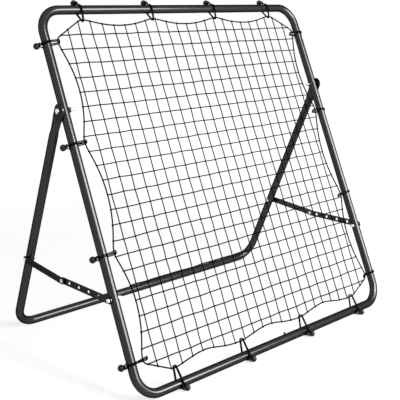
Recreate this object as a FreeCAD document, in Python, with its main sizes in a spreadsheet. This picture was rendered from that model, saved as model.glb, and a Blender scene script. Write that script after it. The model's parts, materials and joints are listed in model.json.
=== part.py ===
import FreeCAD, Part
import math
import os

import Sketcher
from FreeCAD import Vector

doc = FreeCAD.newDocument("rebounder")

# Driving dimensions, in millimetres and degrees
DIMENSIONS = {
    # Tube and its bends
    "tube_diameter": 25,
    "tube_wall": 1.2,
    "bore_sides": 12,
    "bend_radius": 62.5,
    # Square frame, between tube axes
    "panel_width": 1025,
    "panel_height": 1025,
    "panel_lean": 25.6,
    # Rear stand: its hinge up the uprights, and how far behind it the base bar stands
    "hinge_height": 750,
    "stand_spread": 246,
    "flare_start": 70,
    "tab_start": 25,
    "tab_width": 38,
    "tab_thickness": 3.2,
    "tab_edge_radius": 1.7,
    # Plug joint in the middle of the rails and of the base bar
    "sleeve_length": 62,
    "sleeve_wall": 1.2,
    "sleeve_gap": 0.1,
    "shoulder_length": 4,
    "button_distance": 43.5,
    "button_diameter": 6,
    "button_height": 5.5,
    "button_tip_slope": 1,
    "button_gap": 0.15,
    "leaf_width": 7,
    "leaf_thickness": 0.6,
    "leaf_reach": 8.8,
    "leaf_bend_start": 11,
    "leaf_overhang": 5,
    # Hinge bolts
    "hinge_bolt": 8,
    "hinge_head_width": 13,
    "hinge_head_height": 5.3,
    "hinge_nut_height": 6.5,
    "hinge_bolt_tail": 16,
    "hinge_washer": 18,
    "hinge_washer_thickness": 2,
    # Folding struts
    "strut_height": 254,
    "strut_leg_distance": 474,
    "knee_reach": 198,
    "knee_drop": 9,
    "strut_width": 19,
    "strut_thickness": 2,
    "strut_hole": 9,
    "strut_hole_pitch": 42.3,
    "strut_hole_count": 4,
    "strut_bolt": 6,
    "strut_head_width": 10,
    "strut_head_height": 4,
    "strut_nut_height": 5,
    "strut_bolt_tail": 7,
    "strut_spacer": 14,
    "strut_spacer_thickness": 2,
    "strut_leg_gap": 0.5,
    "rivet_barrel": 7,
    "rivet_bore": 5,
    "rivet_flange": 11,
    "rivet_flange_thickness": 1,
    # Clearances
    "running_gap": 0.08,
    "hole_gap": 0.2,
    "seat_gap": 0.1,
    "knee_gap": 0.3,
    "soft_gap": 0.35,
    # Net and its border rope
    "net_lines": 12,
    "net_twine": 2,
    "net_margin_top": 42.2,
    "net_margin_bottom": 33.8,
    "net_margin_side": 42,
    "net_forward": 5,
    "rope_diameter": 4,
    "rope_inset_top": 30.5,
    "rope_inset_bottom": 42,
    "rope_inset_side": 32.5,
    "scallop_depth_end": 18,
    "scallop_depth_side": 29,
    "scallop_runs": 5,
    "tie_flat": 9,
    # Ball ties
    "ball_diameter": 18,
    "ball_sides": 10,
    "ball_bands": 4,
    "ball_bore": 8.4,
    "ball_bore_depth": 6,
    "cord_diameter": 3.2,
    "cord_sides": 5,
    "cord_spacing": 2,
    "neck_distance": 11,
    "foot_bends": 6,
    "rail_tie_inner": 129,
    "rail_tie_corner": 131.5,
    "side_tie_inner": 147,
    "side_tie_corner": 90.5,
    "ball_top_out": 25,
    "ball_top_back": 14,
    "ball_side_out": 23.5,
    "ball_side_back": 13,
    "ball_side_along": -3.5,
    "ball_bottom_out": 12.5,
    "ball_bottom_back": -22,
    "ball_bottom_along": 8,
}

sheet = doc.addObject("Spreadsheet::Sheet", "size")
for row, (alias, number) in enumerate(DIMENSIONS.items(), start=1):
    sheet.set(f"A{row}", alias)
    sheet.set(f"B{row}", str(number))
    sheet.setAlias(f"B{row}", alias)
doc.recompute()


def value(expression):
    """The number that an expression of the sheet's cells gives."""
    result = sheet.evalExpression(str(expression))
    return float(getattr(result, "Value", result))


def size(alias):
    return value("size." + alias)


# Lengths and places worked out from the driving dimensions, as expressions
RADIUS = "(size.tube_diameter / 2)"
BORE = "(size.tube_diameter / 2 - size.tube_wall)"
SIDE = "(size.panel_width / 2)"
# The bore's flat sides enclose the area of the round bore
BORE_TURN = "(180 / size.bore_sides)"
BORE_CORNER = f"({BORE} * sqrt({math.pi} / (size.bore_sides * sin({BORE_TURN}) * cos({BORE_TURN}))))"
SLEEVE_RADIUS = f"({BORE_CORNER} * cos({BORE_TURN}) - size.sleeve_gap)"
SLEEVE_BORE = f"({SLEEVE_RADIUS} - size.sleeve_wall)"
TAB_INNER = f"({SIDE} + {RADIUS} + size.hinge_washer_thickness + 2 * size.seat_gap)"
TAB_CENTRE = f"({TAB_INNER} + size.tab_thickness / 2)"
# The bottom rail rests on the elastic loops under it, and the base bar on the floor itself
REST = f"({RADIUS} + size.soft_gap + size.cord_diameter)"
HINGE_RISE = f"({REST} + size.hinge_height * cos(size.panel_lean))"
HINGE_DROP = f"({HINGE_RISE} - {RADIUS})"
LEG_LENGTH = f"sqrt({HINGE_DROP} ^ 2 + size.stand_spread ^ 2)"
STAND_LEAN = f"(atan(size.stand_spread / {HINGE_DROP}) / 1 deg)"
LEG_DROP = f"({LEG_LENGTH} - size.flare_start)"
LEG_TURN = f"(atan({LEG_DROP} / ({TAB_CENTRE} - {SIDE})) / 1 deg)"
PIVOT_RISE = f"({LEG_LENGTH} - size.strut_leg_distance)"
LEG_X_AT_PIVOT = f"({SIDE} + ({TAB_CENTRE} - {SIDE}) * {PIVOT_RISE} / {LEG_DROP})"
OPENING = f"(size.panel_lean + {STAND_LEAN})"

# The strut: hinge to front pivot, hinge to rear pivot, and the span between the pivots
FRONT_SIDE = "(size.hinge_height - size.strut_height)"
REAR_SIDE = "size.strut_leg_distance"
SQUARES = f"({FRONT_SIDE} ^ 2 + {REAR_SIDE} ^ 2)"
SPAN = f"sqrt({SQUARES} - 2 * {FRONT_SIDE} * {REAR_SIDE} * cos({OPENING}))"
REAR_REACH = f"({SPAN} - size.knee_reach)"
FRONT_LENGTH = "sqrt(size.knee_reach ^ 2 + size.knee_drop ^ 2)"
REAR_LENGTH = f"sqrt({REAR_REACH} ^ 2 + size.knee_drop ^ 2)"
FRONT_CORNER = f"acos(({SPAN} ^ 2 + {SQUARES} - 2 * {REAR_SIDE} ^ 2) / (2 * {FRONT_SIDE} * {SPAN}))"
REAR_CORNER = f"acos(({SPAN} ^ 2 + {SQUARES} - 2 * {FRONT_SIDE} ^ 2) / (2 * {REAR_SIDE} * {SPAN}))"
FRONT_ANGLE = f"(({FRONT_CORNER} + atan(size.knee_drop / size.knee_reach)) / 1 deg)"
REAR_ANGLE = f"(({REAR_CORNER} + atan(size.knee_drop / {REAR_REACH})) / 1 deg)"
FRONT_BAR_INNER = f"({SIDE} + {RADIUS} + size.strut_spacer_thickness + 2 * size.seat_gap)"
FRONT_BAR_OUTER = f"({FRONT_BAR_INNER} + size.strut_thickness)"
REAR_BAR_INNER = f"({LEG_X_AT_PIVOT} + {RADIUS} + size.strut_leg_gap)"
REAR_BAR_OUTER = f"({REAR_BAR_INNER} + size.strut_thickness)"


def place(x="0", y="0", z="0", turn="0", axis="1; 0; 0"):
    """A placement expression: a point, and a turn in degrees about an axis."""
    return f"placement(vector({x}; {y}; {z}); rotation(vector({axis}); {turn}))"


# The frame's own plane: x to the right, y behind it, z up the frame from the bottom rail's axis
PANEL = place(z=REST, turn="-size.panel_lean")
# The stand's own plane: origin on the hinge axis, z up the legs
STAND = place(
    y="size.hinge_height * sin(size.panel_lean)",
    z=HINGE_RISE,
    turn=STAND_LEAN,
)


def bind(feature, **expressions):
    """Ties a feature's properties to the sheet."""
    for prop, expression in expressions.items():
        feature.setExpression(prop, str(expression))


def origin_plane(body, role):
    return next(item for item in body.Origin.OriginFeatures if item.Role == role)


def new_body(label, placement):
    body = doc.addObject("PartDesign::Body", label)
    body.Label = label
    bind(body, Placement=placement)
    return body


def new_sketch(body, name, plane, offset=None):
    sketch = body.newObject("Sketcher::SketchObject", name)
    sketch.AttachmentSupport = (origin_plane(body, plane), [""])
    sketch.MapMode = "FlatFace"
    if offset:
        bind(sketch, AttachmentOffset=offset)
    return sketch


def constrain(sketch, kind, *where, expression):
    """A dimension in a sketch, tied to the sheet."""
    index = sketch.addConstraint(Sketcher.Constraint(kind, *where, value(expression)))
    sketch.setExpression(f"Constraints[{index}]", str(expression))


def fix_point(sketch, edge, end, x, y):
    constrain(sketch, "DistanceX", edge, end, expression=x)
    constrain(sketch, "DistanceY", edge, end, expression=y)


def draw_circle(sketch, x, y, radius):
    edge = sketch.addGeometry(Part.Circle(Vector(value(x), value(y), 0), Vector(0, 0, 1), value(radius)))
    fix_point(sketch, edge, 3, x, y)
    constrain(sketch, "Radius", edge, expression=radius)


def draw_chain(sketch, corners, closed=True):
    """Lines and arcs from corner to corner.

    A corner is (x, y), and a line leaves it, or (x, y, radius, "left" or "right"): then the
    edge that leaves it is an arc of that radius, turning to that side.
    """
    count = len(corners) if closed else len(corners) - 1
    ends = []
    for number in range(count):
        corner = corners[number]
        following = corners[(number + 1) % len(corners)]
        start = Vector(value(corner[0]), value(corner[1]), 0)
        finish = Vector(value(following[0]), value(following[1]), 0)
        if len(corner) == 2:
            edge = sketch.addGeometry(Part.LineSegment(start, finish))
            first, last = 1, 2
        else:
            radius = value(corner[2])
            half = start.distanceToPoint(finish) / 2
            normal = Vector(start.y - finish.y, finish.x - start.x, 0).normalize()
            if corner[3] == "right":
                normal = -normal
            centre = (start + finish) / 2 + normal * math.sqrt(max(radius ** 2 - half ** 2, 0))
            begin, end = (start, finish) if corner[3] == "left" else (finish, start)
            angles = [math.atan2(point.y - centre.y, point.x - centre.x) for point in (begin, end)]
            if angles[1] < angles[0]:
                angles[1] += 2 * math.pi
            circle = Part.Circle(centre, Vector(0, 0, 1), radius)
            edge = sketch.addGeometry(Part.ArcOfCircle(circle, *angles))
            first, last = (1, 2) if corner[3] == "left" else (2, 1)
            constrain(sketch, "Radius", edge, expression=corner[2])
        ends.append((edge, first, last))
        fix_point(sketch, edge, first, corner[0], corner[1])
    if closed:
        join_ends(sketch, ends + ends[:1])
    else:
        join_ends(sketch, ends)
        fix_point(sketch, ends[-1][0], ends[-1][2], corners[-1][0], corners[-1][1])


def join_ends(sketch, ends):
    for (edge, _, last), (following, first, _) in zip(ends, ends[1:]):
        sketch.addConstraint(Sketcher.Constraint("Coincident", edge, last, following, first))


def pad(body, sketch, length, name, midplane=False, reverse=False):
    feature = body.newObject("PartDesign::Pad", name)
    feature.Profile = sketch
    feature.Midplane = midplane
    feature.Reversed = reverse
    bind(feature, Length=length)
    return feature


def pocket_through(body, sketch, name):
    """A hole through all the material on both sides of the sketch."""
    feature = body.newObject("PartDesign::Pocket", name)
    feature.Profile = sketch
    feature.Type = "ThroughAll"
    feature.Midplane = True
    return feature


def pocket_one_wall(body, sketch, depth, name, reverse):
    """A hole from the sketch plane outwards, through one wall of a tube."""
    feature = body.newObject("PartDesign::Pocket", name)
    feature.Profile = sketch
    feature.Reversed = reverse
    bind(feature, Length=depth)
    return feature


def pipe(body, profile, spine, name):
    feature = body.newObject("PartDesign::AdditivePipe", name)
    feature.Profile = profile
    feature.Spine = spine
    return feature


def draw_ring(sketch, x, y, outer, inner):
    draw_circle(sketch, x, y, outer)
    draw_circle(sketch, x, y, inner)


def draw_tube(sketch, height):
    """A bent tube's section: round outside, and a bore of flat sides that nothing shows."""
    sides = int(size("bore_sides"))
    draw_circle(sketch, "0", height, RADIUS)
    corners = []
    for step in range(sides):
        angle = 360 * (step + 0.5) / sides
        corners.append((f"{BORE_CORNER} * cos({angle})", f"{height} + {BORE_CORNER} * sin({angle})"))
    draw_chain(sketch, corners)


# Tube halves

def sign_of(side):
    return "" if side == "right" else "-"


def frame_half(side):
    """One bent half of the square frame, from seam to seam."""
    body = new_body("frame_half_" + side, PANEL)
    mark = sign_of(side)
    turn = "right" if side == "right" else "left"
    run = f"{mark}({SIDE} - size.bend_radius)"
    upright = f"{mark}{SIDE}"
    path = new_sketch(body, f"frame_path_{side}", "XZ_Plane")
    draw_chain(path, [
        ("0", "size.panel_height"),
        (run, "size.panel_height", "size.bend_radius", turn),
        (upright, "size.panel_height - size.bend_radius"),
        (upright, "size.bend_radius", "size.bend_radius", turn),
        (run, "0"),
        ("0", "0"),
    ], closed=False)
    ring = new_sketch(body, f"frame_ring_{side}", "YZ_Plane")
    draw_tube(ring, "size.panel_height")
    pipe(body, ring, path, f"frame_tube_{side}")
    if side == "left":
        plug_end(body, "top", "size.panel_height")
        plug_end(body, "bottom", "0")
    holes = new_sketch(body, f"bolt_holes_{side}", "YZ_Plane")
    draw_circle(holes, "0", "size.hinge_height", "size.hinge_bolt / 2 + size.hole_gap")
    draw_circle(holes, "0", "size.strut_height", "size.strut_bolt / 2 + size.hole_gap")
    pocket_through(body, holes, f"drilling_{side}")
    button_hole(body, "bottom", "XY_Plane", "0", upward=True)
    button_hole(body, "top", "XZ_Plane", "size.panel_height", upward=False)
    return body


def plug_end(body, rail, height):
    """The reduced end of a left half: a shoulder, and the sleeve that enters the right half."""
    shoulder = new_sketch(body, f"shoulder_{rail}", "YZ_Plane")
    draw_ring(shoulder, "0", height, RADIUS, SLEEVE_BORE)
    pad(body, shoulder, "size.shoulder_length", f"shoulder_pad_{rail}", reverse=True)
    sleeve = new_sketch(body, f"sleeve_{rail}", "YZ_Plane")
    draw_ring(sleeve, "0", height, SLEEVE_RADIUS, SLEEVE_BORE)
    pad(body, sleeve, "size.sleeve_length", f"sleeve_pad_{rail}")


def button_hole(body, rail, plane, height, upward):
    """The snap button's hole through the wall on the side where the button stands out."""
    hole = new_sketch(body, f"button_hole_{rail}", plane)
    draw_circle(hole, "size.button_distance", height, "size.button_diameter / 2 + size.button_gap")
    pocket_one_wall(body, hole, "size.tube_diameter", f"button_drilling_{rail}", reverse=upward)


def stand_half(side):
    """One bent half of the stand: half of the base bar, a leg, its flare and its flat tab."""
    body = new_body("stand_half_" + side, STAND)
    mark = sign_of(side)
    base = f"-{LEG_LENGTH}"
    tangent = f"size.bend_radius * tan({LEG_TURN} / 2)"
    path = new_sketch(body, f"stand_path_{side}", "XZ_Plane")
    draw_chain(path, [
        ("0", base),
        (f"{mark}({SIDE} - {tangent})", base, "size.bend_radius", "left" if side == "right" else "right"),
        (f"{mark}({SIDE} + {tangent} * cos({LEG_TURN}))", f"{base} + {tangent} * sin({LEG_TURN})"),
        (f"{mark}{TAB_CENTRE}", "-size.flare_start"),
    ], closed=False)
    ring = new_sketch(body, f"stand_ring_{side}", "YZ_Plane")
    draw_tube(ring, base)
    pipe(body, ring, path, f"stand_tube_{side}")
    flare(body, side, mark)
    tab(body, side, mark)
    pivot = new_sketch(body, f"pivot_hole_{side}", "YZ_Plane")
    draw_circle(pivot, "0", "-size.strut_leg_distance", "size.strut_bolt / 2 + size.hole_gap")
    pocket_through(body, pivot, f"pivot_drilling_{side}")
    if side == "left":
        plug_end(body, "base", base)
    button_hole(body, "base", "XZ_Plane", base, upward=False)
    return body


def oval(sketch, half_thickness, half_flat, side_radius, end_radius):
    """A tube's section, from round to pressed flat: two long sides and two short ends."""
    thick = half_thickness
    flat = half_flat
    if side_radius is None:
        draw_chain(sketch, [
            (f"{thick}", f"-{flat}"),
            (f"{thick}", flat, end_radius, "left"),
            (f"-{thick}", flat),
            (f"-{thick}", f"-{flat}", end_radius, "left"),
        ])
        return
    draw_chain(sketch, [
        (f"{thick}", f"-{flat}", side_radius, "left"),
        (f"{thick}", flat, end_radius, "left"),
        (f"-{thick}", flat, side_radius, "left"),
        (f"-{thick}", f"-{flat}", end_radius, "left"),
    ])


def flare(body, side, mark):
    """The pressed end's transition from the round leg to the flat tab."""
    split = "18"
    tilt = f"(90 - {LEG_TURN})" if side == "right" else f"({LEG_TURN} - 90)"
    round_end = new_sketch(body, f"round_end_{side}", "XY_Plane", place(
        f"{mark}{TAB_CENTRE}", "0", "-size.flare_start", tilt, "0; 1; 0"))
    oval(round_end, f"({RADIUS} * sin({split}))", f"({RADIUS} * cos({split}))", RADIUS, RADIUS)
    flat_end = new_sketch(body, f"flat_end_{side}", "XY_Plane", place(
        f"{mark}{TAB_CENTRE}", "0", "-size.tab_start"))
    thick = "(size.tab_thickness / 2)"
    bulge = f"(size.tab_edge_radius - sqrt(size.tab_edge_radius ^ 2 - {thick} ^ 2))"
    oval(flat_end, thick, f"(size.tab_width / 2 - {bulge})", None, "size.tab_edge_radius")
    loft = body.newObject("PartDesign::AdditiveLoft", f"flare_{side}")
    loft.Profile = round_end
    loft.Sections = [flat_end]
    loft.Ruled = True


def tab(body, side, mark):
    """The flat tab, rounded about the hinge bolt and drilled for it."""
    inner = f"{mark}{TAB_INNER}"
    outline = new_sketch(body, f"tab_outline_{side}", "YZ_Plane", place(z=inner))
    edge = "(size.tab_width / 2)"
    draw_chain(outline, [
        (f"-{edge}", "-size.tab_start"),
        (edge, "-size.tab_start"),
        (edge, "0", edge, "left"),
        ("0", edge, edge, "left"),
        (f"-{edge}", "0"),
    ])
    draw_circle(outline, "0", "0", "size.hinge_bolt / 2 + size.running_gap")
    pad(body, outline, "size.tab_thickness", f"tab_pad_{side}", reverse=side == "left")


# Snap buttons and their springs

def joint_button(label, placement):
    """A snap button on the moving arm of its leaf spring; local z is the way it stands out."""
    body = new_body(label, placement)
    arm = new_sketch(body, f"{label}_arm", "XZ_Plane")
    left = "(size.leaf_bend_start + size.knee_gap)"
    right = "(size.button_distance + size.leaf_overhang)"
    top = "size.leaf_reach"
    under = "(size.leaf_reach - size.leaf_thickness)"
    draw_chain(arm, [(left, under), (right, under), (right, top), (left, top)])
    pad(body, arm, "size.leaf_width", f"{label}_leaf", midplane=True)
    pin = new_sketch(body, f"{label}_pin", "XY_Plane", place(z=under))
    draw_circle(pin, "size.button_distance", "0", "size.button_diameter / 2")
    stem = pad(body, pin, f"{RADIUS} + size.button_height - {under}", f"{label}_pad")
    doc.recompute()
    tip = max(body.Shape.Faces, key=lambda face: (body.Placement.inverse() * face.CenterOfMass).z)
    number = next(index for index, face in enumerate(body.Shape.Faces, 1) if face.isSame(tip))
    slope = body.newObject("PartDesign::Chamfer", f"{label}_slope")
    slope.Base = (stem, [f"Face{number}"])
    bind(slope, Size="size.button_tip_slope")
    return body


def joint_spring(label, placement):
    """The fixed arm and the bend of a snap button's leaf spring."""
    body = new_body(label, placement)
    outline = new_sketch(body, f"{label}_outline", "XZ_Plane")
    reach = "size.leaf_reach"
    inner = "(size.leaf_reach - size.leaf_thickness)"
    bend = "size.leaf_bend_start"
    far = "(size.button_distance + size.leaf_overhang)"
    draw_chain(outline, [
        (far, f"-{inner}"),
        (bend, f"-{inner}", inner, "right"),
        (f"({bend} - {inner})", "0", inner, "right"),
        (bend, inner),
        (bend, reach, reach, "left"),
        (f"({bend} - {reach})", "0", reach, "left"),
        (bend, f"-{reach}"),
        (far, f"-{reach}"),
    ])
    pad(body, outline, "size.leaf_width", f"{label}_leaf", midplane=True)
    return body


# Strut bars

def strut_bar(label, placement, length, inner_face, side):
    """A flat bar with round ends, hanging on its pivot; local z runs to the knee."""
    body = new_body(label, placement)
    inner = f"{sign_of(side)}{inner_face}"
    outline = new_sketch(body, f"{label}_outline", "YZ_Plane", place(z=inner))
    edge = "(size.strut_width / 2)"
    draw_chain(outline, [
        (f"-{edge}", "0", edge, "left"),
        ("0", f"-{edge}", edge, "left"),
        (edge, "0"),
        (edge, length, edge, "left"),
        ("0", f"{length} + {edge}", edge, "left"),
        (f"-{edge}", length),
    ])
    pad(body, outline, "size.strut_thickness", f"{label}_pad", reverse=side == "left")
    pivot = new_sketch(body, f"{label}_pivot", "YZ_Plane")
    draw_circle(pivot, "0", "0", "size.strut_bolt / 2 + size.running_gap")
    pocket_through(body, pivot, f"{label}_pivot_hole")
    return body


def front_bar(side):
    label = "strut_front_bar_" + side
    turned = f"{PANEL} * {place(z='size.strut_height', turn=f'-{FRONT_ANGLE}')}"
    body = strut_bar(label, turned, FRONT_LENGTH, FRONT_BAR_INNER, side)
    knee = new_sketch(body, f"{label}_knee", "YZ_Plane")
    draw_circle(knee, "0", FRONT_LENGTH, "size.strut_hole / 2")
    pocket_through(body, knee, f"{label}_knee_hole")
    first = new_sketch(body, f"{label}_first", "YZ_Plane")
    draw_circle(first, "0", "size.strut_hole_pitch", "size.strut_hole / 2")
    hole = pocket_through(body, first, f"{label}_first_hole")
    row = body.newObject("PartDesign::LinearPattern", f"{label}_row")
    row.Originals = [hole]
    row.Direction = (first, ["V_Axis"])
    row.Mode = "Spacing"
    bind(row, Offset="size.strut_hole_pitch", Occurrences="size.strut_hole_count")
    body.Tip = row
    return body


def rear_bar(side):
    label = "strut_rear_bar_" + side
    turned = f"{STAND} * {place(z='-size.strut_leg_distance', turn=REAR_ANGLE)}"
    body = strut_bar(label, turned, REAR_LENGTH, REAR_BAR_INNER, side)
    knee = new_sketch(body, f"{label}_knee", "YZ_Plane")
    draw_circle(knee, "0", REAR_LENGTH, "size.rivet_barrel / 2 + size.seat_gap")
    pocket_through(body, knee, f"{label}_knee_hole")
    return body


# Turned and hexagonal small parts, along the x axis

def turned_part(name, steps, bore=None):
    """Cylinders end to end along x, each (start, length, radius), with a bore through them."""
    solids = []
    for number, (start, length, radius) in enumerate(steps):
        cylinder = doc.addObject("Part::Cylinder", f"{name}_step_{number}")
        bind(cylinder, Radius=radius, Height=length, Placement=place(x=start, turn="90", axis="0; 1; 0"))
        solids.append(cylinder)
    whole = solids[0]
    if len(solids) > 1:
        whole = doc.addObject("Part::MultiFuse", f"{name}_outside")
        whole.Shapes = solids
        whole.Refine = True
    return bored(name, whole, bore, steps) if bore else whole


def bored(name, outside, radius, steps):
    start = steps[0][0]
    length = " + ".join(f"({step[1]})" for step in steps)
    cutter = doc.addObject("Part::Cylinder", f"{name}_bore")
    across = place(x=f"{start} - 1", turn="90", axis="0; 1; 0")
    bind(cutter, Radius=radius, Height=f"{length} + 2", Placement=across)
    cut = doc.addObject("Part::Cut", f"{name}_bored")
    cut.Base = outside
    cut.Tool = cutter
    return cut


def hex_block(name, start, height, width, bore=None):
    """A hexagonal head or nut along x, its width measured across the flats."""
    prism = doc.addObject("Part::Prism", f"{name}_hex")
    prism.Polygon = 6
    bind(prism, Circumradius=f"{width} / sqrt(3)", Height=height,
         Placement=place(x=start, turn="90", axis="0; 1; 0"))
    return bored(name, prism, bore, [(start, height, width)]) if bore else prism


def bolt(name, diameter, head_start, head_height, head_width, tail_end):
    """A hexagon bolt whose head lies outside and whose shank runs inwards."""
    shank_length = f"{head_start} - {tail_end} + {head_height} / 2"
    shank = turned_part(f"{name}_shank", [(tail_end, shank_length, f"{diameter} / 2")])
    head = hex_block(name, head_start, head_height, head_width)
    whole = doc.addObject("Part::Fuse", f"{name}_whole")
    whole.Base = head
    whole.Tool = shank
    return whole


def pair(label, right, placement):
    """The right-hand piece and its mirror image, as one group of separate solids."""
    left = doc.addObject("Part::Mirroring", f"{label}_left")
    left.Source = right
    left.Normal = Vector(1, 0, 0)
    group = doc.addObject("Part::Compound", label)
    group.Label = label
    group.Links = [right, left]
    bind(group, Placement=placement)
    return group


def single(label, piece, placement):
    group = doc.addObject("Part::Compound", label)
    group.Label = label
    group.Links = [piece]
    bind(group, Placement=placement)
    return group


def hinge_parts():
    at_hinge = f"{PANEL} * {place(z='size.hinge_height')}"
    inside = f"({SIDE} - {RADIUS})"
    nut_start = f"{inside} - size.seat_gap - size.hinge_nut_height"
    head_start = f"({TAB_INNER} + size.tab_thickness + size.seat_gap)"
    nut_bore = "size.hinge_bolt / 2"
    screw = bolt("hinge_bolt_part", "size.hinge_bolt", head_start, "size.hinge_head_height",
                 "size.hinge_head_width", f"({nut_start} - size.hinge_bolt_tail)")
    nut = hex_block("hinge_nut_part", nut_start, "size.hinge_nut_height", "size.hinge_head_width", nut_bore)
    washer = turned_part("hinge_washer_part", [
        (f"{SIDE} + {RADIUS} + size.seat_gap", "size.hinge_washer_thickness", "size.hinge_washer / 2"),
    ], "size.hinge_bolt / 2 + size.hole_gap")
    return [
        pair("hinge_bolts", screw, at_hinge),
        pair("hinge_nuts", nut, at_hinge),
        pair("hinge_washers", washer, at_hinge),
    ]


def strut_frame_parts():
    at_pivot = f"{PANEL} * {place(z='size.strut_height')}"
    nut_start = f"{SIDE} - {RADIUS} - size.seat_gap - size.strut_nut_height"
    head_start = f"({FRONT_BAR_OUTER} + size.seat_gap)"
    screw = bolt("strut_frame_bolt_part", "size.strut_bolt", head_start, "size.strut_head_height",
                 "size.strut_head_width", f"({nut_start} - size.strut_bolt_tail)")
    nut = hex_block("strut_frame_nut_part", nut_start, "size.strut_nut_height", "size.strut_head_width",
                    "size.strut_bolt / 2")
    spacer = turned_part("strut_spacer_part", [
        (f"{SIDE} + {RADIUS} + size.seat_gap", "size.strut_spacer_thickness", "size.strut_spacer / 2"),
    ], "size.strut_bolt / 2 + size.hole_gap")
    return [
        pair("strut_frame_bolts", screw, at_pivot),
        pair("strut_frame_nuts", nut, at_pivot),
        pair("strut_frame_spacers", spacer, at_pivot),
    ]


def leg_pivot_parts():
    at_pivot = f"{STAND} * {place(z='-size.strut_leg_distance')}"
    nut_start = f"{LEG_X_AT_PIVOT} - {RADIUS} - size.strut_leg_gap - size.strut_nut_height"
    head_start = f"({REAR_BAR_OUTER} + size.seat_gap)"
    screw = bolt("leg_pivot_bolt_part", "size.strut_bolt", head_start, "size.strut_head_height",
                 "size.strut_head_width", f"({nut_start} - size.strut_bolt_tail)")
    nut = hex_block("leg_pivot_nut_part", nut_start, "size.strut_nut_height", "size.strut_head_width",
                    "size.strut_bolt / 2")
    return [
        pair("leg_pivot_bolts", screw, at_pivot),
        pair("leg_pivot_nuts", nut, at_pivot),
    ]


def knee_parts():
    """A tubular rivet in each rear bar, and the flanged bush that faces it in each front bar."""
    made = []
    rivet = turned_part("knee_rivet_part", [
        (REAR_BAR_INNER, "size.strut_thickness + size.seat_gap", "size.rivet_barrel / 2"),
        (f"{REAR_BAR_OUTER} + size.seat_gap", "size.rivet_flange_thickness", "size.rivet_flange / 2"),
    ], "size.rivet_bore / 2")
    barrel_start = f"({FRONT_BAR_INNER} - size.seat_gap)"
    barrel_length = f"({REAR_BAR_INNER} - size.knee_gap - {barrel_start})"
    flange_start = f"({barrel_start} - size.rivet_flange_thickness)"
    bush = turned_part("knee_bush_part", [
        (flange_start, "size.rivet_flange_thickness", "size.rivet_flange / 2"),
        (barrel_start, barrel_length, "size.strut_hole / 2 - size.seat_gap"),
    ], "size.rivet_bore / 2")
    rear = f"{STAND} * {place(z='-size.strut_leg_distance', turn=REAR_ANGLE)} * {place(z=REAR_LENGTH)}"
    front = f"{PANEL} * {place(z='size.strut_height', turn=f'-{FRONT_ANGLE}')} * {place(z=FRONT_LENGTH)}"
    for part, name, placement in ((rivet, "knee_rivet", rear), (bush, "knee_bush", front)):
        mirrored = doc.addObject("Part::Mirroring", f"{name}_mirror")
        mirrored.Source = part
        mirrored.Normal = Vector(1, 0, 0)
        made.append(single(f"{name}_right", part, placement))
        made.append(single(f"{name}_left", mirrored, placement))
    return made


# Cords with few flat sides

def faceted_cord(points, radius, sides, closed=False):
    """A solid cord along straight runs, mitred at each point."""
    count = len(points)
    ends = points[1:] + points[:1] if closed else points[1:]
    runs = [(end - start).normalize() for start, end in zip(points, ends)]
    first = runs[-1] + runs[0] if closed else runs[0]
    across = runs[0].cross(Vector(0, 1, 0.2)).normalize()
    upright = runs[0].cross(across)
    ring = []
    for step in range(sides):
        angle = 2 * math.pi * step / sides
        spoke = across * (radius * math.cos(angle)) + upright * (radius * math.sin(angle))
        ring.append(on_plane(points[0] + spoke, runs[0], points[0], first))
    rings = [ring]
    for number in range(1, count):
        arriving = runs[number - 1]
        leaving = runs[number] if number < len(runs) else arriving
        ring = [on_plane(point, arriving, points[number], arriving + leaving) for point in ring]
        rings.append(ring)
    return skinned(rings, closed)


def skinned(rings, closed=False):
    """A solid whose flat faces join each ring of corners to the next."""
    faces = []
    followers = rings[1:] + rings[:1] if closed else rings[1:]
    for ring, following in zip(rings, followers):
        for step in range(len(ring)):
            after = (step + 1) % len(ring)
            faces.append(flat_face([ring[step], ring[after], following[after], following[step]]))
    if not closed:
        faces.append(flat_face(rings[0]))
        faces.append(flat_face(rings[-1]))
    return Part.Solid(Part.Shell(faces))


def on_plane(point, direction, origin, normal):
    """Where the line through a point meets the plane through an origin."""
    return point + direction * ((origin - point).dot(normal) / direction.dot(normal))


def flat_face(corners):
    return Part.Face(Part.makePolygon(corners + corners[:1]))


def feature(label, shape):
    """A sub-part that its own code shapes, placed in the frame's plane."""
    item = doc.addObject("Part::Feature", label)
    item.Label = label
    item.Shape = shape
    bind(item, Placement=PANEL)
    return item


# The sixteen ties: where each crosses the tube, and the side it is on

def ties():
    half_width = size("panel_width") / 2
    height = size("panel_height")
    outer, inner = half_width - size("rail_tie_corner"), size("rail_tie_inner")
    side_outer, side_inner = height / 2 - size("side_tie_corner"), size("side_tie_inner")
    found = []
    for offset in (-outer, -inner, inner, outer):
        found.append(("top", Vector(offset, 0, height)))
    for offset in (side_outer, side_inner, -side_inner, -side_outer):
        found.append(("right", Vector(half_width, 0, height / 2 + offset)))
    for offset in (outer, inner, -inner, -outer):
        found.append(("bottom", Vector(offset, 0, 0)))
    for offset in (-side_outer, -side_inner, side_inner, side_outer):
        found.append(("left", Vector(-half_width, 0, height / 2 + offset)))
    return found


ACROSS = Vector(1, 0, 0)
BACKWARD = Vector(0, 1, 0)
UPWARD = Vector(0, 0, 1)
OUTWARD = {"top": UPWARD, "bottom": -UPWARD, "left": -ACROSS, "right": ACROSS}
ALONG = {"top": ACROSS, "bottom": ACROSS, "left": UPWARD, "right": UPWARD}
# The way round the frame in which the ties are listed
ONWARD = {"top": ACROSS, "right": -UPWARD, "bottom": -ACROSS, "left": UPWARD}


def rope_inset(side):
    return size("rope_inset_" + (side if side in ("top", "bottom") else "side"))


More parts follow.
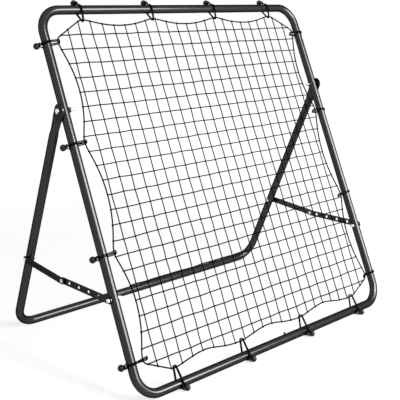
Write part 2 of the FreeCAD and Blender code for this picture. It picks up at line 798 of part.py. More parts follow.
def ball_place(side):
    """The ball's centre beside its tube: along it, outwards from it and behind it."""
    if side == "top":
        return 0, size("ball_top_out"), size("ball_top_back")
    if side == "bottom":
        return size("ball_bottom_along"), size("ball_bottom_out"), size("ball_bottom_back")
    return size("ball_side_along"), size("ball_side_out"), size("ball_side_back")


def rope_points():
    """The border rope's corners: a tie holds it out, and it draws in between two ties."""
    held = [(side, point - OUTWARD[side] * rope_inset(side)) for side, point in ties()]
    forward = BACKWARD * -size("net_forward")
    runs = int(size("scallop_runs"))
    across = size("tie_flat")
    points = []
    for (side, start), (following, finish) in zip(held, held[1:] + held[:1]):
        leaving = start + ONWARD[side] * across
        points += [start - ONWARD[side] * across + forward, leaving + forward]
        if side != following:
            continue
        arriving = finish - ONWARD[side] * across
        depth = size("scallop_depth_end" if side in ("top", "bottom") else "scallop_depth_side")
        for step in range(1, runs):
            share = step / runs
            dip = 4 * share * (1 - share) * depth
            points.append(leaving + (arriving - leaving) * share - OUTWARD[side] * dip + forward)
    return points


def border_rope():
    solid = faceted_cord(rope_points(), size("rope_diameter") / 2, int(size("cord_sides")), closed=True)
    return feature("border_rope", solid)


def rope_at(route, fixed, coordinate, upper):
    """How far up or across the rope's route is, on the line where one coordinate is fixed."""
    other = "z" if fixed == "x" else "x"
    hits = []
    for start, finish in zip(route, route[1:] + route[:1]):
        low, high = getattr(start, fixed), getattr(finish, fixed)
        if min(low, high) <= coordinate < max(low, high):
            share = (coordinate - low) / (high - low)
            hits.append(getattr(start, other) + share * (getattr(finish, other) - getattr(start, other)))
    return max(hits) if upper else min(hits)


def spread_lines(low, high):
    """The net's lines in one direction, evenly from its first to its last."""
    count = int(size("net_lines"))
    return [low + (high - low) * number / (count - 1) for number in range(count)]


def net():
    """The net as one flat face with a gap in every mesh, its twines running out to the rope."""
    half = size("net_twine") / 2
    reach = size("panel_width") / 2 - size("rope_inset_side") - size("net_margin_side")
    bottom = size("rope_inset_bottom") + size("net_margin_bottom")
    top = size("panel_height") - size("rope_inset_top") - size("net_margin_top")
    columns = spread_lines(-reach, reach)
    rows = spread_lines(bottom, top)
    route = rope_points()
    clear = size("rope_diameter") / 2 + size("soft_gap")

    def end_of(twine, fixed, upper):
        """Where a twine stops short of the rope, which may cross it at a slant."""
        reaches = [rope_at(route, fixed, twine + nudge, upper) for nudge in (-half, half)]
        slant = (reaches[1] - reaches[0]) / (2 * half)
        back_off = clear * math.hypot(1, slant)
        return min(reaches) - back_off if upper else max(reaches) + back_off

    outline = []
    for x in columns:
        end = end_of(x, "x", False)
        outline += [(x - half, bottom - half), (x - half, end), (x + half, end), (x + half, bottom - half)]
    for z in rows:
        end = end_of(z, "z", True)
        outline += [(reach + half, z - half), (end, z - half), (end, z + half), (reach + half, z + half)]
    for x in reversed(columns):
        end = end_of(x, "x", True)
        outline += [(x + half, top + half), (x + half, end), (x - half, end), (x - half, top + half)]
    for z in reversed(rows):
        end = end_of(z, "z", False)
        outline += [(-reach - half, z + half), (end, z + half), (end, z - half), (-reach - half, z - half)]
    wires = [closed_wire(without_repeats(outline))]
    for left, right in zip(columns, columns[1:]):
        for low, high in zip(rows, rows[1:]):
            wires.append(closed_wire([
                (left + half, low + half),
                (left + half, high - half),
                (right - half, high - half),
                (right - half, low + half),
            ]))
    face = Part.Face(wires)
    face.translate(Vector(0, -size("net_forward") - half, 0))
    return feature("net", face.extrude(Vector(0, 2 * half, 0)))


def without_repeats(corners):
    kept = []
    for corner in corners:
        if not kept or math.dist(kept[-1], corner) > 1e-6:
            kept.append(corner)
    return kept[:-1] if math.dist(kept[0], kept[-1]) < 1e-6 else kept


def closed_wire(corners):
    points = [Vector(x, 0, z) for x, z in corners]
    return Part.makePolygon(points + points[:1])


def faceted_ball(centre, mouth):
    """A ball of flat faces, hollowed from its mouth for the knot of its loop."""
    radius = size("ball_diameter") / 2
    bore = size("ball_bore") / 2
    sides = int(size("ball_sides"))
    bands = int(size("ball_bands"))
    rim = math.asin(bore / radius)
    profile = [(radius - size("ball_bore_depth"), bore)]
    for number in range(bands + 1):
        angle = rim + (math.pi - 2 * rim) * number / bands
        profile.append((radius * math.cos(angle), radius * math.sin(angle)))
    across = mouth.cross(Vector(0.3, 0.2, 1)).normalize()
    upright = mouth.cross(across)
    rings = []
    for height, reach in profile:
        ring = []
        for step in range(sides):
            angle = 2 * math.pi * step / sides
            spoke = across * math.cos(angle) + upright * math.sin(angle)
            ring.append(centre + mouth * height + spoke * reach)
        rings.append(ring)
    return skinned(rings)


def tie_balls():
    balls = []
    for side, point in ties():
        start, following = [to_frame(side, point, local) for local in loop_route(side)[:2]]
        mouth = (following - start).normalize()
        balls.append(faceted_ball(to_frame(side, point, ball_place(side)), mouth))
    return feature("tie_balls", Part.Compound(balls))


def to_frame(side, point, local):
    """A point of a tie's own axes (along the tube, outwards, behind) in the frame's axes."""
    along, out, back = local
    return point + ALONG[side] * along + OUTWARD[side] * out + BACKWARD * back


def wrap(centre, radius, first, last, steps):
    """Corners of a cord bent round a circle, from one angle to another, clear of the circle."""
    step = (last - first) / steps
    outside = radius / math.cos(step / 2)
    corners = []
    for number in range(steps):
        angle = first + step * (number + 0.5)
        corners.append((centre[0] + outside * math.cos(angle), centre[1] + outside * math.sin(angle)))
    return corners


def loop_route(side):
    """One strand of an elastic loop, in its tie's own axes, from the ball to the middle of the bight."""
    along, ball_out, ball_back = ball_place(side)
    flip = 1 if ball_back > 0 else -1
    cord = size("cord_diameter") / 2
    gap = size("soft_gap")
    ball = (ball_out, ball_back * flip)
    rope = (-rope_inset(side), -size("net_forward") * flip)
    around_tube = size("tube_diameter") / 2 + cord + gap
    around_rope = size("rope_diameter") / 2 + cord + gap
    near = size("cord_spacing")
    wide = near + 2 * cord + gap

    # Straight stretches between the tube and the rope touch both circles
    reach = math.hypot(*rope)
    heading = math.atan2(rope[1], rope[0]) % (2 * math.pi)
    spread = math.acos((around_tube - around_rope) / reach)
    front, behind = heading + spread, heading - spread

    # The strands leave the tube straight for the ball, and come back for its neck
    distance = math.hypot(*ball)
    leave = math.atan2(ball[1], ball[0]) - math.acos(around_tube / distance)
    edge = (around_tube * math.cos(leave), around_tube * math.sin(leave))
    toward = ((ball[0] - edge[0]), (ball[1] - edge[1]))
    length = math.hypot(*toward)
    toward = (toward[0] / length, toward[1] / length)
    neck = (ball[0] - toward[0] * size("neck_distance"), ball[1] - toward[1] * size("neck_distance"))
    neck_reach = math.hypot(*neck)
    meet = math.atan2(neck[1], neck[0]) + math.acos(around_tube / neck_reach)
    depth = size("ball_diameter") / 2 - size("ball_bore_depth") + gap
    start = (ball[0] - toward[0] * depth, ball[1] - toward[1] * depth)

    # The part of the bottom rail's loops that the frame stands on follows the tube closely
    bends = int(size("foot_bends")) if side == "bottom" else 2
    corners = [start]
    corners += wrap((0, 0), around_tube, leave, front - 2 * math.pi, bends)
    corners += wrap(rope, around_rope, front, behind, 3)
    corners += wrap((0, 0), around_tube, behind, meet, 2)
    offsets = [near] * (1 + bends)
    offsets += [near + (wide - near) * share for share in (0.25, 0.5, 0.75)]
    offsets += [wide] * 2
    heading_out = (neck[0] - around_tube * math.cos(meet), neck[1] - around_tube * math.sin(meet))
    stretch = math.hypot(*heading_out)
    heading_out = (heading_out[0] / stretch, heading_out[1] / stretch)
    for turn in (0, 45, 90):
        beyond = wide * math.sin(math.radians(turn))
        corners.append((neck[0] + heading_out[0] * beyond, neck[1] + heading_out[1] * beyond))
        offsets.append(wide * math.cos(math.radians(turn)))
    route = []
    for offset, (out, back) in zip(offsets, corners):
        share = min(max((out - rope[0]) / (ball[0] - rope[0]), 0), 1)
        route.append((offset, out, back * flip, along * share))
    return [(offset + shift, out, back) for offset, out, back, shift in route]


def tie_loop(side, point):
    """One elastic loop: a strand from the ball, round tube and rope, and its mirror image."""
    along, ball_out, _ = ball_place(side)
    inset = rope_inset(side)
    strand = loop_route(side)
    mirrored = []
    for offset, out, back in strand:
        share = min(max((out + inset) / (ball_out + inset), 0), 1)
        mirrored.append((2 * along * share - offset, out, back))
    route = strand + mirrored[-2::-1]
    points = [to_frame(side, point, local) for local in route]
    return faceted_cord(points, size("cord_diameter") / 2, int(size("cord_sides")))


def tie_loops():
    return feature("tie_loops", Part.Compound([tie_loop(*tie) for tie in ties() if tie[0] != "bottom"]))


def foot_loops():
    """The bottom rail's loops, which the frame stands on, flattened where they meet the floor."""
    frame_plane = FreeCAD.Placement(
        Vector(0, 0, value(REST)), FreeCAD.Rotation(Vector(1, 0, 0), -size("panel_lean")))
    room = size("panel_width")
    above_floor = Part.makeBox(2 * room, room, room, Vector(-room, -room / 2, 0))
    above_floor.Placement = frame_plane.inverse()
    loops = [tie_loop(*tie).common(above_floor) for tie in ties() if tie[0] == "bottom"]
    return feature("foot_loops", Part.Compound(loops))


def main():
    subparts = [frame_half("left"), frame_half("right"), stand_half("left"), stand_half("right")]
    bottom_rail = PANEL
    top_rail = f"{PANEL} * {place(z='size.panel_height', turn='-90')}"
    base_bar = f"{STAND} * {place(z=f'-{LEG_LENGTH}', turn='-90')}"
    for name, placement in (("bottom", bottom_rail), ("top", top_rail), ("base", base_bar)):
        subparts.append(joint_button(f"{name}_joint_button", placement))
        subparts.append(joint_spring(f"{name}_joint_spring", placement))
    for side in ("left", "right"):
        subparts.append(front_bar(side))
        subparts.append(rear_bar(side))
    subparts += hinge_parts() + strut_frame_parts() + leg_pivot_parts() + knee_parts()
    subparts += [net(), border_rope(), tie_balls(), tie_loops(), foot_loops()]
    doc.recompute()

    faults = [item.Name for item in doc.Objects if {"Invalid", "Error"} & set(item.State)]
    for item in subparts:
        if item.Shape.isNull() or not item.Shape.isValid() or not item.Shape.Solids:
            faults.append(item.Label)
    if faults:
        raise RuntimeError("These objects failed: " + ", ".join(faults))
    os.makedirs("parts", exist_ok=True)
    for item in subparts:
        item.Shape.exportStep(f"parts/{item.Label}.step")
    return subparts


if __name__ == "__main__":
    main()
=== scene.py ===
import json
import math
import random

import bpy
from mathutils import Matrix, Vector


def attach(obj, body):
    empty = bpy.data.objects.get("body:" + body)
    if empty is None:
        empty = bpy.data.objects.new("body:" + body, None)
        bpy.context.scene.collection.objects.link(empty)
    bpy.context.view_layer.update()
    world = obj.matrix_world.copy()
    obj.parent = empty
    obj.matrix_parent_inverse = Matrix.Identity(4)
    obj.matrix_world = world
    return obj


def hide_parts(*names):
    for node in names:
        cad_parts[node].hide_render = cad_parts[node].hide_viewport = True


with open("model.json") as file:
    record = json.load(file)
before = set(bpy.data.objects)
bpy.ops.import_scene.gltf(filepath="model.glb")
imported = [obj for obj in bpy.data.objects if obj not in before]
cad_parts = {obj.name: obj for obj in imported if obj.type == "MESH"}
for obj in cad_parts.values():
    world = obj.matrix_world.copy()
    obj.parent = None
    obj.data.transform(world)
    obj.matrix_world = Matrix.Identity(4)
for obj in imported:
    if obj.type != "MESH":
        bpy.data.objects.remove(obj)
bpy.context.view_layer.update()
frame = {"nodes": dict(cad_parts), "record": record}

# Lengths are in metres. The panel is the leaning frame with its net. A point of it is given across from its
# middle, up from the bottom rail's axis, and back from its plane.

# Radii of the tubes, the loops' cord and the border rope, as in the CAD, and of the net's twine
TUBE = 0.0125
CORD = 0.0016
ROPE = 0.002
TWINE = 0.0017
CORD_SIDES = 10
TWINE_SIDES = 6

# The frame between its tubes' axes, its lean, and the gap between cords and what they lie on, as in the CAD
WIDTH = 1.025
HEIGHT = 1.025
LEAN = math.radians(25.6)
SOFT_GAP = 0.00035
# The bottom rail's axis: the loops pass under the rail
RAIL_HEIGHT = TUBE + SOFT_GAP + 2 * CORD

# Border rope: how far inside each tube's axis the ties hold it, and how far it is drawn in between two ties
ROPE_INSET = {"top": 0.0305, "bottom": 0.042, "left": 0.0325, "right": 0.0325}
SCALLOP = {"top": 0.019, "bottom": 0.017, "left": 0.029, "right": 0.029}
# The bottom scallops are lopsided: share of the way between two ties, and share of the depth there
BOTTOM_SCALLOP = [
    (0, 0),
    (0.13, 0.06),
    (0.25, 0.25),
    (0.41, 0.72),
    (0.5, 0.95),
    (0.57, 1.0),
    (0.73, 0.69),
    (0.89, 0.34),
    (1, 0),
]
# How far each way a tie holds the rope straight, the shares of that which are points of its line, the points
# between two ties, and how often the line is smoothed
TIE_FLAT = 0.009
FLAT_SHARES = (-1, -0.5, 0, 0.5)
RUN_POINTS = 22
SMOOTHINGS = 6

# Net: its lines each way, more than the CAD has, its outermost lines, and how far in front of the plane it is
NET_LINES = 23
NET_SIDE = 0.438
NET_LOW = 0.0758
NET_HIGH = 0.9523
NET_FORWARD = 0.005
# How far its crossings stray in the panel's plane and out of it, and its twines halfway between them
NET_SEED = 11
CROSSING_STRAY = 0.0011
CROSSING_LIFT = 0.0006
TWINE_STRAY = 0.0005
# Knots: their radius at the crossings and on the rope, how much longer they are than thick, their lean out of
# the plane, their sides and rings, and the share of a ring's step by which their ends are cut off
CROSSING_KNOT = 0.0026
ROPE_KNOT = 0.0030
KNOT_STRETCH = 1.15
KNOT_LEAN = 0.3
KNOT_SIDES = 6
KNOT_RINGS = 5
KNOT_END = 0.35

# Ties: their distances from the middle of the rails and of the uprights, and how far the bottom ones are moved
# across
RAIL_TIES = (0.129, 0.381)
SIDE_TIES = (0.147, 0.422)
BOTTOM_TIE_SHIFT = -0.005
TIES_PER_SIDE = 4

# Balls, as in the CAD: their radius, the bore's radius and depth, how far from their centre the loop's end
# crosses in front of them, and their centres, out from the tube's axis and back from the panel's plane
BALL = 0.009
BALL_BORE = 0.0042
BALL_BORE_DEPTH = 0.006
BALL_NECK = 0.011
BALL_PLACE = {
    "top": (0.025, 0.014),
    "bottom": (0.0125, -0.022),
    "left": (0.0235, 0.013),
    "right": (0.0235, 0.013),
}
# The bore's floor: radius of the small ring at its middle, its own radius against the bore's, and its bevel
BORE_MIDDLE = 0.0004
BORE_FLOOR_SHARE = 0.9
BORE_BEVEL = 0.0004
# The moulding seam round a ball and the angle at which its far end is cut off, in radians, then its rings and
# sides, and the angle in degrees above which an edge stays sharp
SEAM_HEIGHT = 0.00015
SEAM_ANGLE = 0.05
TIP_ANGLE = 0.03
BALL_RINGS = 18
BALL_SIDES = 28
BALL_SMOOTH_ANGLE = 40

# Loops: for each tie in turn, how far the loop passes the rope, and how far along the tube its inner end and
# its ball stand
LOOP_SET = {
    "top": [(0.001, 0.0, 0.0)] * 4,
    "right": [
        (0.010, -0.004, -0.0015),
        (0.012, -0.004, -0.0035),
        (0.011, -0.003, 0.0025),
        (0.006, -0.003, 0.0015),
    ],
    "bottom": [(0.0, 0.0, 0.008)] * 4,
    "left": [
        (0.012, 0.0, -0.0035),
        (0.003, 0.0, -0.0035),
        (0.003, 0.0, -0.0035),
        (0.002, 0.0, -0.0035),
    ],
}
# How far a loop's way out and way back part along the tube at the rope, the extra room round the rope, and
# how far the way out runs from the loop's middle
LOOP_TWIST = {"top": 0.0, "right": 0.003, "bottom": 0.0, "left": 0.003}
LOOP_ROOM = {"top": 0.0, "right": 0.0, "bottom": 0.0025, "left": 0.0}
STRAND_SPACING = 0.0018
# Steps of the arcs round the tube, round the rope and back round the tube, and the neck's bend in degrees
OUT_ARC_STEPS = 14
ROPE_ARC_STEPS = 10
BACK_ARC_STEPS = 12
NECK_ANGLES = (0, 18, 36, 54, 72, 90)

# Finishes: where in the noise the two ends of a mottle lie, its detail, and a grain's detail and depth
MOTTLE = (0.3, 0.7)
MOTTLE_DETAIL = 3
GRAIN_DETAIL = 2
GRAIN_DEPTH = 0.0001
# Black finishes: blue against grey, and how far their gloss varies
BLACK_BLUE = 1.05
BLACK_GLOSS_SPREAD = (-0.05, 0.07)
# Cords: strands that wind each way round, and the relief and gloss of the weave
STRANDS_ROUND = 2
WEAVE_RELIEF = 0.4
WEAVE_DEPTH = 0.0002
CORD_ROUGHNESS = 0.65

# Floor: half its size, its colour, and its glow, which grows between two distances from the middle
FLOOR_REACH = 40.0
FLOOR_COLOUR = (0.2, 0.2, 0.2, 1)
GLOW_DISTANCES = (0.9, 3.0)
GLOW_STRENGTHS = (0.8, 0.96)
# World: its colour, and how much of its light reaches the object
WHITE = (1, 1, 1, 1)
AMBIENT = 0.2
# Lamps: name, place, width and height, and power in watts
LAMP_TARGET = (0, 0.2, 0.5)
LAMPS = [
    ("front", (0.45, -3.2, 2.3), (0.8, 3.6), 253),
    ("side", (1.90, -2.72, 1.9), (1.5, 1.6), 157),
    ("edge", (1.80, -2.90, 2.3), (0.4, 3.2), 18),
]
# Camera, fitted to the photograph: place, rotation in degrees, lens and sensor in millimetres, and shift
CAMERA_PLACE = (-1.68, -1.3405, 1.0258)
CAMERA_TURN = (77.015, -1.316, -41.201)
CAMERA_LENS = 71.59
CAMERA_SENSOR = 36
CAMERA_SHIFT = (0.12, -0.093)

# Directions of the panel, and of its sides outward and along
UP = Vector((0, math.sin(LEAN), math.cos(LEAN)))
BACK = Vector((0, math.cos(LEAN), -math.sin(LEAN)))
RIGHT = Vector((1, 0, 0))
OUTWARD = {"top": UP, "bottom": -UP, "left": -RIGHT, "right": RIGHT}
ALONG = {"top": RIGHT, "bottom": RIGHT, "left": UP, "right": UP}
# The same outward directions as (across, up), and the way on round the panel
PLANE_OUTWARD = {"top": (0, 1), "bottom": (0, -1), "left": (-1, 0), "right": (1, 0)}
PLANE_ONWARD = {"top": (1, 0), "right": (0, -1), "bottom": (-1, 0), "left": (0, 1)}


def on_panel(across, up, back=0.0):
    """A point given in the leaning frame's own plane."""
    return Vector((0, 0, RAIL_HEIGHT)) + RIGHT * across + UP * up + BACK * back


# Mesh building

def running_lengths(points):
    """The length from the first point to each one, and on to the first again."""
    lengths = [0.0]
    for start, finish in zip(points, points[1:] + points[:1]):
        lengths.append(lengths[-1] + (finish - start).length)
    return lengths


def circle(centre, one, two, radius, sides, offset=0.0):
    """Points round a centre, in the plane of two directions that are square to each other."""
    points = []
    for step in range(sides):
        angle = 2 * math.pi * step / sides + offset
        points.append(centre + (one * math.cos(angle) + two * math.sin(angle)) * radius)
    return points


class Form:
    """Collects vertices, faces and UVs, and makes one smooth object of them."""

    def __init__(self):
        self.verts = []
        self.faces = []
        self.uvs = []

    def add_rings(self, rings, lengths, closed=False):
        """A skin over rings of points. Its UVs are the length along and the share of the way round."""
        first = len(self.verts)
        sides = len(rings[0])
        for ring in rings:
            self.verts += [tuple(point) for point in ring]
        for number in range(len(rings) if closed else len(rings) - 1):
            start = first + number * sides
            finish = first + (number + 1) % len(rings) * sides
            low = lengths[number]
            high = lengths[number + 1]
            for step in range(sides):
                after = (step + 1) % sides
                self.faces.append((start + step, start + after, finish + after, finish + step))
                here = step / sides
                there = (step + 1) / sides
                self.uvs += [(low, here), (low, there), (high, there), (high, here)]
        if not closed:
            last = first + (len(rings) - 1) * sides
            self.faces.append(tuple(first + step for step in reversed(range(sides))))
            self.faces.append(tuple(last + step for step in range(sides)))
            self.uvs += [(lengths[0], 0.0)] * sides + [(lengths[len(rings) - 1], 0.0)] * sides

    def add_tube(self, path, radius, sides, closed=False):
        """A round tube along a path, its rings carried along without twist."""
        count = len(path)
        tangents = []
        for number in range(count):
            before = path[number - 1] if closed or number else path[0]
            after = path[(number + 1) % count] if closed or number < count - 1 else path[-1]
            tangents.append((after - before).normalized())
        across = tangents[0].orthogonal().normalized()
        spokes = []
        for tangent in tangents:
            across = (across - tangent * across.dot(tangent)).normalized()
            spokes.append((across.copy(), tangent.cross(across)))
        twist = 0.0
        if closed:
            end = (across - tangents[0] * across.dot(tangents[0])).normalized()
            start, side = spokes[0]
            twist = math.atan2(end.dot(side), end.dot(start))
        rings = []
        for number, (point, (one, two)) in enumerate(zip(path, spokes)):
            rings.append(circle(point, one, two, radius, sides, -twist * number / count))
        self.add_rings(rings, running_lengths(path), closed)

    def add_turned(self, centre, axis, profile, sides):
        """A turned form: profile is (distance along the axis, radius) from end to end."""
        axis = axis.normalized()
        one = axis.orthogonal().normalized()
        two = axis.cross(one)
        rings = [circle(centre + axis * height, one, two, radius, sides) for height, radius in profile]
        self.add_rings(rings, running_lengths([ring[0] for ring in rings]))

    def make(self, name, material, body, smooth_angle=None):
        """One object of all that was added, smooth all over or only where it bends less than an angle."""
        mesh = bpy.data.meshes.new(name)
        mesh.from_pydata(self.verts, [], self.faces)
        layer = mesh.uv_layers.new(name="along")
        for loop, uv in zip(layer.data, self.uvs):
            loop.uv = uv
        mesh.materials.append(material)
        mesh.validate()
        mesh.update()
        mesh.shade_smooth()
        if smooth_angle is not None:
            mesh.set_sharp_from_angle(angle=math.radians(smooth_angle))
        piece = bpy.data.objects.new(name, mesh)
        bpy.context.scene.collection.objects.link(piece)
        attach(piece, body)
        return piece


# Shader nodes and materials

def add_node(tree, kind, inputs, **settings):
    """A node whose inputs are linked to other nodes' outputs or set to plain values."""
    node = tree.nodes.new(kind)
    for name, setting in settings.items():
        setattr(node, name, setting)
    for name, value in inputs.items():
        if isinstance(value, bpy.types.NodeSocket):
            tree.links.new(value, node.inputs[name])
        else:
            node.inputs[name].default_value = value
    return node


def add_math(tree, operation, *values):
    """The output of a Math node."""
    return add_node(tree, "ShaderNodeMath", dict(enumerate(values)), operation=operation).outputs[0]


def new_material(name):
    material = bpy.data.materials.new(name)
    material.use_nodes = True
    tree = material.node_tree
    return material, tree, tree.nodes["Principled BSDF"]


def noise(tree, scale, detail):
    place = add_node(tree, "ShaderNodeTexCoord", {}).outputs["Object"]
    inputs = {"Vector": place, "Scale": scale, "Detail": detail}
    return add_node(tree, "ShaderNodeTexNoise", inputs).outputs["Fac"]


def ramp(tree, source, span, colours):
    """A colour that goes from one to another as the source goes across a span."""
    node = add_node(tree, "ShaderNodeValToRGB", {"Fac": source})
    for element, position, colour in zip(node.color_ramp.elements, span, colours):
        element.position = position
        element.color = (*colour, 1)
    return node.outputs["Color"]


def greys(values):
    return [(value, value, value) for value in values]


def bump(tree, shader, source, strength, depth):
    inputs = {"Strength": strength, "Distance": depth, "Height": source}
    node = add_node(tree, "ShaderNodeBump", inputs)
    tree.links.new(node.outputs["Normal"], shader.inputs["Normal"])


def mottled(name, colours, gloss, relief, scales, sockets, span=MOTTLE):
    """A finish whose colour, gloss and relief vary over the surface, each at a noise scale of its own."""
    material, tree, shader = new_material(name)
    colour_scale, gloss_scale, relief_scale = scales
    colour = ramp(tree, noise(tree, colour_scale, MOTTLE_DETAIL), span, colours)
    tree.links.new(colour, shader.inputs["Base Color"])
    roughness = ramp(tree, noise(tree, gloss_scale, MOTTLE_DETAIL), MOTTLE, greys(gloss))
    tree.links.new(roughness, shader.inputs["Roughness"])
    for socket, value in sockets.items():
        shader.inputs[socket].default_value = value
    bump(tree, shader, noise(tree, relief_scale, GRAIN_DETAIL), relief, GRAIN_DEPTH)
    return material


def powder_coat():
    """A charcoal coat with metal flake, whose dark edge tint paints shade on the tubes' rims by darkening
    their reflection there.
    """
    return mottled(
        "powder_coat_charcoal",
        colours=[(0.036, 0.036, 0.038), (0.042, 0.042, 0.044)],
        gloss=(0.17, 0.21),
        relief=0.012,
        scales=(900, 35, 1400),
        # The dark Specular Tint is painted shade: it darkens the tubes' reflection at their rims
        sockets={"Metallic": 0.9, "Specular Tint": (0.1, 0.1, 0.1, 1), "Specular IOR Level": 0.34},
        span=(0.35, 0.65),
    )


def zinc_plate():
    return mottled(
        "zinc_plate_bright",
        colours=[(0.62, 0.63, 0.65), (0.78, 0.79, 0.80)],
        gloss=(0.22, 0.38),
        relief=0.15,
        scales=(300, 500, 2500),
        sockets={"Metallic": 1.0},
    )


def black_finish(name, low, high, roughness):
    """Black oxide, nylon or moulded plastic."""
    return mottled(
        name,
        colours=[(grey, grey, grey * BLACK_BLUE) for grey in (low, high)],
        gloss=[roughness + change for change in BLACK_GLOSS_SPREAD],
        relief=0.2,
        scales=(500, 120, 1800),
        sockets={"Specular IOR Level": 0.25},
    )


def braided_cord(name, low, high, pitch):
    """A matt cord whose strands wind round it both ways, from the length along it and the way round."""
    material, tree, shader = new_material(name)
    place = add_node(tree, "ShaderNodeTexCoord", {}).outputs["UV"]
    waves = []
    for way in (1, -1):
        scale = (1 / pitch, way * STRANDS_ROUND, 1)
        turns = add_node(tree, "ShaderNodeMapping", {"Vector": place, "Scale": scale}).outputs["Vector"]
        parts = add_node(tree, "ShaderNodeSeparateXYZ", {"Vector": turns}).outputs
        angle = add_math(tree, "MULTIPLY", add_math(tree, "ADD", parts["X"], parts["Y"]), 2 * math.pi)
        waves.append(add_math(tree, "SINE", angle))
    weave = add_math(tree, "MAXIMUM", *waves)
    tree.links.new(ramp(tree, weave, (0, 1), greys((low, high))), shader.inputs["Base Color"])
    shader.inputs["Roughness"].default_value = CORD_ROUGHNESS
    shader.inputs["Specular IOR Level"].default_value = 0.0
    bump(tree, shader, weave, WEAVE_RELIEF, WEAVE_DEPTH)
    return material


BLACK_OXIDE = black_finish("black_oxide", 0.006, 0.012, 0.42)
BALL_PLASTIC = black_finish("moulded_ball", 0.003, 0.006, 0.38)
ROPE_CORD = braided_cord("border_braid", 0.003, 0.010, 0.004)
ELASTIC = braided_cord("elastic_braid", 0.002, 0.008, 0.003)
TWINE_CORD = braided_cord("net_twine_lay", 0.001, 0.005, 0.0025)

SLOT_MATERIALS = {
    "powder_coat": powder_coat(),
    "zinc_plate": zinc_plate(),
    "black_nut": BLACK_OXIDE,
    "black_nylon": black_finish("black_nylon", 0.006, 0.010, 0.5),
    "net_twine": TWINE_CORD,
    "border_cord": ROPE_CORD,
    "ball_plastic": BALL_PLASTIC,
    "elastic_cord": ELASTIC,
}


def finish_cad_nodes():
    """Each CAD node in its slot's material, apart from the snap buttons, which are dark."""
    for part in frame["record"]["subparts"]:
        finish = SLOT_MATERIALS[part["material_slot"]]
        if part["node"].endswith("_joint_button"):
            finish = BLACK_OXIDE
        for slot in frame["nodes"][part["node"]].material_slots:
            slot.material = finish


# Ties, rope and net

def four_along(distances):
    near, far = distances
    return (-far, -near, near, far)


def ties():
    """The ties in turn round the panel, from the top's left one: each one's side and place."""
    rail = four_along(RAIL_TIES)
    upright = four_along(SIDE_TIES)
    found = [("top", (offset, HEIGHT)) for offset in rail]
    found += [("right", (WIDTH / 2, HEIGHT / 2 + offset)) for offset in reversed(upright)]
    found += [("bottom", (offset + BOTTOM_TIE_SHIFT, 0)) for offset in reversed(rail)]
    found += [("left", (-WIDTH / 2, HEIGHT / 2 + offset)) for offset in upright]
    return found


def scallop(side, share):
    """How far the rope is drawn in between two ties, as a share of the most."""
    if side != "bottom":
        return 4 * share * (1 - share)
    for (low, depth), (high, deeper) in zip(BOTTOM_SCALLOP, BOTTOM_SCALLOP[1:]):
        if share <= high:
            return depth + (deeper - depth) * (share - low) / (high - low)
    return 0.0


def rope_corners():
    """The rope's line in the frame's plane before it is smoothed: held out at the ties, drawn in between."""
    held = []
    for side, (across, up) in ties():
        out = PLANE_OUTWARD[side]
        inset = ROPE_INSET[side]
        held.append((side, Vector((across - out[0] * inset, up - out[1] * inset))))
    points = []
    for (side, start), (following, finish) in zip(held, held[1:] + held[:1]):
        onward = Vector(PLANE_ONWARD[side])
        out = Vector(PLANE_OUTWARD[side])
        leaving = start + onward * TIE_FLAT
        arriving = finish - Vector(PLANE_ONWARD[following]) * TIE_FLAT
        for share in FLAT_SHARES:
            points.append(start + onward * TIE_FLAT * share)
        for step in range(RUN_POINTS):
            share = step / RUN_POINTS
            point = leaving + (arriving - leaving) * share
            if side == following:
                point = point - out * (scallop(side, share) * SCALLOP[side])
            points.append(point)
    return points


def smoothed(points, times):
    """A closed line's points, each moved toward its neighbours a number of times."""
    for _ in range(times):
        before = points[-1:] + points[:-1]
        after = points[1:] + points[:1]
        points = [(low + 2 * point + high) / 4 for low, point, high in zip(before, points, after)]
    return points


def border_rope(rope_line):
    form = Form()
    path = [on_panel(point.x, point.y, -NET_FORWARD) for point in rope_line]
    form.add_tube(path, ROPE, CORD_SIDES, closed=True)
    piece = form.make("border_rope_braided", ROPE_CORD, "frame")
    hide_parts("border_rope")


def rope_reach(rope_line, fixed, coordinate):
    """The two places where the rope crosses the line that holds one coordinate of the plane."""
    hits = []
    for start, finish in zip(rope_line, rope_line[1:] + rope_line[:1]):
        low = start[fixed]
        high = finish[fixed]
        if min(low, high) <= coordinate < max(low, high):
            share = (coordinate - low) / (high - low)
            hits.append(start[1 - fixed] + share * (finish[1 - fixed] - start[1 - fixed]))
    return min(hits), max(hits)


def twine_path(points, chance):
    """A twine from crossing to crossing, straying a little halfway."""
    path = []
    for start, finish in zip(points, points[1:]):
        halfway = []
        for one, other in zip(start, finish):
            halfway.append((one + other) / 2 + chance.uniform(-TWINE_STRAY, TWINE_STRAY))
        path += [start, halfway]
    path.append(points[-1])
    return [on_panel(across, up, back - NET_FORWARD) for across, up, back in path]


def add_knot(form, centre, radius, chance):
    """A small barrel that points any way."""
    axis = (RIGHT * chance.uniform(-1, 1) + UP * chance.uniform(-1, 1) + BACK * KNOT_LEAN).normalized()
    profile = []
    for step in range(KNOT_RINGS):
        angle = math.pi * (step + KNOT_END) / (KNOT_RINGS - 1 + 2 * KNOT_END)
        profile.append((radius * math.cos(angle) * KNOT_STRETCH, radius * math.sin(angle)))
    form.add_turned(centre, axis, profile, KNOT_SIDES)


